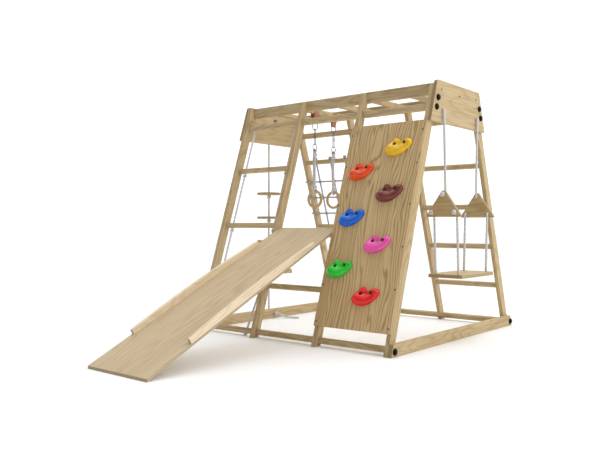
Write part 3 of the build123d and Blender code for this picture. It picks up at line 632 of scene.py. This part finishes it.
m_ring = wood("beech_ring", Z_DIR, 31.0, light=RING_PALE, dark=RING_BROWN, figure=0.3, ply=(Y_DIR, SMALL_PLY))
for side, tag in ((-1, "front"), (1, "rear")):
    y = MID_Y + side * RING_HALF
    top, low = EYE_CENTRE_Z - EYE_RADIUS - 2.3, GYM_Z + GYM_R + GYM_D / 2 + 0.3
    tail = [(RING_X - 2, y, top - 6), (RING_X - 8, y, top - 22), (RING_X - 9.5, y, top - 60),
            (RING_X - 7, y, low + 70), (RING_X - 5, y, low + 20)]
    rope(
        f"ring_rope_{tag}", [(RING_X, y, top), (RING_X, y, low)], RING_ROPE_D, f"{tag}_ring",
        [((RING_X, y, top - 24), Z_DIR, 27.0, 25.0), ((RING_X, y, low + 18), Z_DIR, 27.0, 24.0)],
        [((RING_X, y, top - 0.5), Y_DIR, 8.8, 1.0), ((RING_X, y, GYM_Z + GYM_R + 1), X_DIR, 14.2, 1.0)],
        [tail])

    hoop = Mesh()
    t, section = angles(GYM_STEPS), angles(GYM_SIDES)
    sq = 1.0 / (np.abs(np.cos(section)) ** 3 + np.abs(np.sin(section)) ** 3) ** (1 / 3)
    rr = GYM_R + GYM_D / 2 * GYM_FULL * (np.cos(section) * sq)[None, :] * np.ones((GYM_STEPS, 1))
    yy = GYM_D / 2 * GYM_FULL * (np.sin(section) * sq)[None, :] * np.ones((GYM_STEPS, 1))
    verts = np.stack([RING_X + rr * np.cos(t)[:, None], y + yy, GYM_Z + rr * np.sin(t)[:, None]], -1)
    hoop.add(verts, band_faces(GYM_STEPS, GYM_SIDES))
    hoop_obj = hoop.build(f"gym_ring_{tag}_turned", m_ring, "turned_wood", f"{tag}_ring")
    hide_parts(f"gym_ring_{tag}")

    eye = Mesh()
    ring_of(eye, (RING_X, y, EYE_CENTRE_Z), X_DIR, EYE_RADIUS, WIRE, braided=False)
    lathe(eye, [(1.0, -5), (2.7, -4.4), (2.9, 0), (2.7, 4.4), (1.0, 5)],
          (RING_X, y + EYE_RADIUS, EYE_CENTRE_Z), Z_DIR, 16)
    eye_obj = eye.build(f"rope_eye_{tag}_wire", M_STEEL, "steel", f"{tag}_ring")
    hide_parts(f"rope_eye_{tag}")

    hanger = Mesh()
    low_z = D_BAR_Z - D_HEIGHT
    corners = [(RING_X, y, D_BAR_Z), (RING_X, y + D_HALF, D_BAR_Z), (RING_X, y + D_HALF, low_z),
               (RING_X, y - D_HALF, low_z), (RING_X, y - D_HALF, D_BAR_Z), (RING_X, y, D_BAR_Z)]
    tube(hanger, rounded(corners, [3.5, 17.0, 17.0, 3.5])[:-1], WIRE, step=1.2, around=16, closed=True)
    hi, lo = low_z + WIRE + 0.4, EYE_CENTRE_Z + EYE_RADIUS - WIRE - 0.4
    loop = [(RING_X, y, hi), (RING_X + LINK_HALF, y, hi), (RING_X + LINK_HALF, y, lo),
            (RING_X - LINK_HALF, y, lo), (RING_X - LINK_HALF, y, hi), (RING_X, y, hi)]
    tube(hanger, rounded(loop, [4.4] * 4)[:-1], WIRE, step=1.2, around=16, closed=True)
    lathe(hanger, [(1.9, -12), (3.3, -11), (3.6, -9), (3.6, 9), (3.3, 11), (1.9, 12)],
          (RING_X + LINK_HALF, y, (hi + lo) / 2), Z_DIR, 24, hexed=(1, 2, 3, 4))
    hanger_obj = hanger.build(f"ring_hanger_{tag}_wire", M_STEEL, "steel", f"{tag}_hanger")
    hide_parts(f"ring_hanger_{tag}")

STRAP_W, STRAP_T = 38.0, 2.0
STITCH_ROWS, STITCHES, STITCH_STEP = (-14.0, -5.0, 5.0, 14.0), 4, 5.0
THREAD_D = 0.8
straps, stitches = Mesh(), Mesh()
for side in (-1, 1):
    y = MID_Y + side * RING_HALF
    half, gap = 14.4 + STRAP_T / 2, 2.4 + STRAP_T / 2
    top = BAR_HIGH + 0.4 + STRAP_T / 2
    path = [(0, top), (half, top), (half, BAR_LOW - 12), (gap, D_BAR_Z + 14), (gap, D_BAR_Z - gap),
            (-gap, D_BAR_Z - gap), (-gap, D_BAR_Z + 14), (-half, BAR_LOW - 12), (-half, top), (0, top)]
    line = rounded([(RING_X + a, y, b) for a, b in path], [6.0, 25.0, 25.0, 2.4, 2.4, 25.0, 25.0, 6.0])[:-1]
    line, _ = spaced(line, 2.0, closed=True)
    n = len(line)
    tangent = np.roll(line, -1, 0) - np.roll(line, 1, 0)
    out = np.column_stack([tangent[:, 2], 0 * tangent[:, 0], -tangent[:, 0]])
    out /= np.linalg.norm(out, axis=1)[:, None]
    section = [(-0.5, -0.35), (-0.46, -0.5), (0.46, -0.5), (0.5, -0.35),
               (0.5, 0.35), (0.46, 0.5), (-0.46, 0.5), (-0.5, 0.35)]
    verts = np.stack([line + out * (b * STRAP_T) + np.array([0, a * STRAP_W, 0]) for a, b in section], 1)
    straps.add(verts, band_faces(n, len(section)))
    for face in (-1, 1):
        for across in STITCH_ROWS:
            for k in range(STITCHES):
                z = D_BAR_Z + 6.0 + k * STITCH_STEP
                x = RING_X + face * (gap + STRAP_T / 2 + 0.1 + max(0.0, (z - D_BAR_Z - 14.0) * 0.43))
                stitch = [(x, y + across, z), (x + face * 0.9, y + across, z + 3.0)]
                tube(stitches, stitch, THREAD_D, step=1.0, around=8)
strap_obj = straps.build("ring_straps_webbing", M_WEB, "webbing", "climbing_frame")
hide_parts("ring_straps")
stitches.build("ring_strap_stitches", M_STITCH, "webbing", "climbing_frame")

# ------------------------------------------------------------------ disc rope's eye bolt
bolt = Mesh()
EYE_R, EYE_WIRE = 11.0, 6.0
ring_of(bolt, (DISC_X, MID_Y, EYE_Z), Y_DIR, EYE_R, EYE_WIRE, braided=False)
lathe(bolt, [(3.6, 0), (4.0, 1.0), (4.0, 60.0), (3.4, 61.5)], (DISC_X + 10.0, MID_Y, EYE_Z), X_DIR, 20)
WASHER = [(9.0, 0), (9.4, 0.4), (9.4, 1.3), (9.0, 1.6)]
NUT = [(6.6, 1.6), (7.3, 2.2), (7.3, 7.4), (6.6, 8.0)]
lathe(bolt, WASHER, (-OUTER_X, MID_Y, EYE_Z), X_DIR, 32)
lathe(bolt, NUT, (-OUTER_X, MID_Y, EYE_Z), X_DIR, 36, hexed=(0, 1, 2, 3))
lathe(bolt, WASHER, (-GABLE_X, MID_Y, EYE_Z), (-1, 0, 0), 32)
bolt_obj = bolt.build("disc_eye_bolt_zinc", M_STEEL, "steel", "climbing_frame")
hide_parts("disc_eye_bolt")

# ------------------------------------------------------------------ climbing net
NET_D = 11.0
NET_X = [POST_X[0] + POST_PITCH / 2 + k * 116.0 for k in (-1, 0, 1)]
NET_ROWS = (662.0, 765.0, 868.0)
NET_RUN = (573.0, 995.0)             # the verticals, from rung to rung
NET_KNOTS = (553.5, 1014.5)          # the knots below and above those rungs
NET_GAP = 0.5                        # between a rope and the post it goes round
THIN = 0.8                           # rope pulled tight in a knot, against its free diameter


def back(x, z, b=RUNG_B):
    """A point at depth b behind the back face."""
    return (x, BASE_DEPTH - face_y(z, b), z)


net = Mesh()
for x in NET_X:
    tube(net, [back(x, z) for z in NET_RUN], NET_D, braided=True)
    for z in NET_KNOTS:
        knot(net, back(x, z), UP_BACK, NET_D, 24.0, 19.0)
    for z in NET_ROWS:
        knot(net, back(x, z), UP_BACK, NET_D * THIN, 23.0, 20.0)
for z in NET_ROWS:
    tube(net, [back(POST_X[0] + POST_T / 2 + NET_GAP, z), back(POST_X[1] - POST_T / 2 - NET_GAP, z)], NET_D,
         braided=True)
    for px, inward in ((POST_X[0], 1), (POST_X[1], -1)):
        reach = NET_D / 2 + NET_GAP
        b0, b1, w = -reach, POST_D + reach, POST_T / 2 + reach
        box = [(0, b0), (w, b0), (w, b1), (-w, b1), (-w, b0), (0, b0)]
        loop = rounded([back(px + a, z, b) for a, b in box], [6.0] * 4)[:-1]
        tube(net, loop, NET_D * 0.85, closed=True, braided=True)
        knot(net, back(px + inward * POST_T, z), X_DIR, NET_D * THIN, 22.0, 19.0)
net_obj = net.build("climbing_net_braid", M_NET_PAINTED_SHADE, "rope", "climbing_frame")
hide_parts("climbing_net")

# ------------------------------------------------------------------ bolts and screws
CAP = [(15.4, 0), (15.5, 1.8), (15.2, 4.6), (14.0, 7.0), (11.4, 9.2), (7.5, 10.5), (3.0, 10.95)]
BOLT_Z, BOLT_B = (1157.0, 1204.0), 30.0
PLANK_BOLT_Z, PLANK_BOLT_B = 25.0, 17.0
caps = Mesh()
for side in (-1, 1):
    spots = [(GABLE_X, face_y(z, BOLT_B), z) for z in BOLT_Z]
    spots.append((PLANK_X, face_y(PLANK_BOLT_Z, PLANK_BOLT_B), PLANK_BOLT_Z))
    for x, y, z in spots:
        for yy in (y, BASE_DEPTH - y):
            lathe(caps, CAP, (side * x, yy, z), (side, 0, 0), 40)
caps_obj = caps.build("bolt_caps", M_CAP, "black_caps", "climbing_frame")
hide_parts("frame_bolts")


def panel_point(x, z):
    """A point on the panel's front."""
    up = along(z, -PANEL_T)
    return (x, up * sin(LEAN) - PANEL_T * cos(LEAN), up * cos(LEAN) + PANEL_T * sin(LEAN))


SCREW = [(3.9, -0.4), (3.9, 0.1), (3.5, 0.6), (2.2, 0.9), (1.7, 0.9), (1.3, -0.3)]
SCREW_Z = (1042.0, 878.0, 682.0, 484.0, 293.0, 122.0)
screws = Mesh()
for x in (POST_X[2], POST_X[3]):
    for z in SCREW_Z:
        lathe(screws, SCREW, panel_point(x, z), FRONT_OUT, 24, hexed=(4, 5))
screw_obj = screws.build("panel_screw_heads", M_SCREW, "steel", "climbing_frame")
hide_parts("panel_screws")

GABLE_SCREW = [(5.2, -0.4), (5.2, 0.1), (4.4, 0.8), (2.4, 1.0), (2.0, 1.0), (1.5, -0.3)]
GABLE_SCREW_AT = ((-190.0, 1248.0), (190.0, 1248.0), (0.0, 1240.0))    # the eye bolt takes the left middle
gable_screws = Mesh()
for side in (-1, 1):
    for dy, z in GABLE_SCREW_AT:
        if side > 0 or dy:
            lathe(gable_screws, GABLE_SCREW, (side * GABLE_X, MID_Y + dy, z), (side, 0, 0), 24, hexed=(4, 5))
gable_screws.build("gable_screw_heads", M_SCREW, "steel", "climbing_frame")

# ------------------------------------------------------------------ climbing holds
HOLDS = {
    "yellow": (500.0, 966.0, (0.95, 0.56, 0.012)),
    "orange": (306.5, 852.0, (0.92, 0.085, 0.006)),
    "brown": (494.0, 740.0, (0.20, 0.036, 0.028)),
    "blue": (300.0, 623.0, (0.003, 0.14, 0.74)),
    "pink": (477.0, 497.0, (0.92, 0.11, 0.44)),
    "green": (286.0, 375.0, (0.022, 0.66, 0.035)),
    "red": (464.0, 256.0, (0.86, 0.012, 0.010)),
}
HOLD_BOLTS = ((-22.0, 8.0), (30.0, 14.0))
OUTLINE = [(-77, -17), (-72, -32), (-59, -43), (-40, -49), (-20, -50), (5, -46), (29, -34), (47, -19),
           (61, -4), (70, 13), (64, 30), (49, 37), (33, 33), (19, 25), (6, 25), (-6, 34), (-18, 41),
           (-30, 36), (-45, 22), (-63, 3)]
HOLD_H = 37.0
HOLD_RINGS = 56
BORE_FLOOR, BORE_R, BORE_EDGE_R = 11.5, 6.8, 10.2
HOLD_CENTRE = np.array([-6.0, 2.0])


def closed_spline(points, n):
    """A smooth closed line through the points."""
    p = np.asarray(points, float)
    out = []
    per = n // len(p)
    for i in range(len(p)):
        a, b, c, d = p[i - 1], p[i], p[(i + 1) % len(p)], p[(i + 2) % len(p)]
        for k in range(per):
            t = k / per
            out.append(0.5 * (2 * b + (c - a) * t + (2 * a - 5 * b + 4 * c - d) * t ** 2
                              + (3 * b - a - 3 * c + d) * t ** 3))
    return np.array(out)


def hold_shape():
    """Polar height field of one moulded hold, on local XY with Z outwards."""
    line = closed_spline(OUTLINE, 8 * len(OUTLINE))
    n, rings = len(line), HOLD_RINGS
    verts, faces = [], []
    for i in range(rings):
        s = 1 - i / rings
        s_in = s ** 0.85
        xy = HOLD_CENTRE + (line - HOLD_CENTRE) * s_in
        x, y = xy[:, 0], xy[:, 1]
        dome = (1 - s_in ** 3.0) ** 0.5
        lobe = 0.56 + 0.42 * np.exp(-((x + 46) ** 2 + (y + 20) ** 2) / 30.0 ** 2)
        lobe += 0.24 * np.exp(-((x - 6) / 42.0) ** 2 - ((y + 33) / 15.0) ** 2)
        lobe += 0.22 * np.exp(-((x - 58) ** 2 + (y - 22) ** 2) / 15.0 ** 2)
        lobe += 0.30 * np.exp(-((x + 20) ** 2 + (y - 36) ** 2) / 12.0 ** 2)
        lobe -= 0.34 * np.exp(-((x - 3) / 34.0) ** 2 - ((y - 11) / 15.0) ** 2)
        h = HOLD_H * dome * lobe
        for bx, by in HOLD_BOLTS:
            far = np.hypot(x - bx, y - by)
            wall = np.clip((far - BORE_R) / (BORE_EDGE_R - BORE_R), 0, 1)
            wall = wall * wall * (3 - 2 * wall)
            h = np.where(far < BORE_EDGE_R, np.minimum(h, BORE_FLOOR + (h - BORE_FLOOR) * wall), h)
        verts.append(np.column_stack([x, y, np.maximum(h, 0.0)]))
    verts = np.vstack(verts)
    for i in range(rings - 1):
        for j in range(n):
            k = (j + 1) % n
            faces.append([i * n + j, i * n + k, (i + 1) * n + k, (i + 1) * n + j])
    last = (rings - 1) * n
    faces.append(list(range(last, last + n)))
    faces.append(list(range(n))[::-1])
    return verts, faces


def on_panel(local, x, z):
    """Local points on the panel's front, with X to the right, Y up the panel and Z outwards."""
    local = np.asarray(local, float)
    right, rise, out = np.array(X_DIR), np.array(UP_FRONT), np.array(FRONT_OUT)
    centre = np.array(panel_point(x, z))
    return centre + local[:, :1] * right + local[:, 1:2] * rise + local[:, 2:3] * out


HOLD_HEAD = [(5.8, 0), (5.9, 3.2), (5.2, 4.8), (3.2, 5.4), (2.9, 5.3), (2.8, 2.0)]
HEAD_Z = BORE_FLOOR + 0.1            # the bolt heads' undersides above the panel
hold_verts, hold_faces = hold_shape()
hold_bolts = Mesh()
for name, (x, z, color) in HOLDS.items():
    hold = Mesh()
    hold.add(on_panel(hold_verts, x, z), hold_faces)
    resin = plastic(f"resin_{name}", color)
    hold_obj = hold.build(f"hold_{name}_moulded", resin, f"plastic_{name}", "climbing_frame")
    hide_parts(f"hold_{name}")
    for bx, by in HOLD_BOLTS:
        centre = on_panel([[bx, by, HEAD_Z]], x, z)[0]
        lathe(hold_bolts, HOLD_HEAD, centre, FRONT_OUT, 24, hexed=(4, 5))
hold_bolt_obj = hold_bolts.build("hold_bolt_heads", M_HEAD, "steel", "climbing_frame")
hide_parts("hold_bolts")

# ------------------------------------------------------------------ floor and light
g = Graph("floor_pale")
speck = g.noise(g.node("TexCoord").outputs["Object"], 3.0, 2.0)
floor_mat = g.finish(g.mix(speck, rgba((0.93, 0.93, 0.93)), rgba((0.91, 0.91, 0.91))), 0.9)
floor_mesh = bpy.data.meshes.new("floor")
FLOOR_HALF = 40.0        # metres
corners = [(-FLOOR_HALF, -FLOOR_HALF, 0), (FLOOR_HALF, -FLOOR_HALF, 0), (FLOOR_HALF, FLOOR_HALF, 0),
           (-FLOOR_HALF, FLOOR_HALF, 0)]
floor_mesh.from_pydata(corners, [], [(0, 1, 2, 3)])
floor_mesh.materials.append(floor_mat)
floor = bpy.data.objects.new("floor", floor_mesh)
bpy.context.scene.collection.objects.link(floor)

world = bpy.data.worlds.new("studio")
bpy.context.scene.world = world
world.use_nodes = True
links, sky = world.node_tree.links, world.node_tree.nodes
split = sky.new("ShaderNodeSeparateXYZ")
links.new(sky.new("ShaderNodeTexCoord").outputs["Generated"], split.inputs[0])
# Soft light, stronger from +Y, from above and a little from the right: (axis, from, to, weakest, strongest)
GRADIENTS = (("Y", -0.8, 0.25, 0.12, 1.2), ("Z", 0.1, 0.9, 0.0, 0.35), ("X", 0.2, 1.0, 0.0, 0.1))
parts = []
for axis, low, high, dark, bright in GRADIENTS:
    n = sky.new("ShaderNodeMapRange")
    n.interpolation_type = "SMOOTHSTEP"
    links.new(split.outputs[axis], n.inputs["Value"])
    for key, value in (("From Min", low), ("From Max", high), ("To Min", dark), ("To Max", bright)):
        n.inputs[key].default_value = value
    parts.append(n.outputs[0])
total = parts[0]
for part in parts[1:]:
    n = sky.new("ShaderNodeMath")
    links.new(total, n.inputs[0])
    links.new(part, n.inputs[1])
    total = n.outputs[0]
backdrop = sky.new("ShaderNodeMath")   # the backdrop itself stays white from every side
backdrop.operation = "MAXIMUM"
links.new(sky.new("ShaderNodeLightPath").outputs["Is Camera Ray"], backdrop.inputs[0])
links.new(total, backdrop.inputs[1])
total = backdrop.outputs[0]
sky["Background"].inputs["Color"].default_value = (1.0, 1.0, 1.0, 1.0)
links.new(total, sky["Background"].inputs["Strength"])

LIGHT_TARGET = Vector((0, 0.2, 0.5))


def area(name, at, size, power):
    """A square soft light aimed at the middle of the object."""
    data = bpy.data.lights.new(name, "AREA")
    data.size = size
    data.energy = power
    obj = bpy.data.objects.new(name, data)
    obj.location = at
    obj.rotation_euler = (LIGHT_TARGET - Vector(at)).to_track_quat("-Z", "Y").to_euler()
    bpy.context.scene.collection.objects.link(obj)


area("key_right", (4.5, 0.6, 3.2), 2.5, 40.0)
area("top", (0.0, 0.4, 5.0), 3.0, 30.0)
bpy.context.scene.view_settings.view_transform = "Standard"
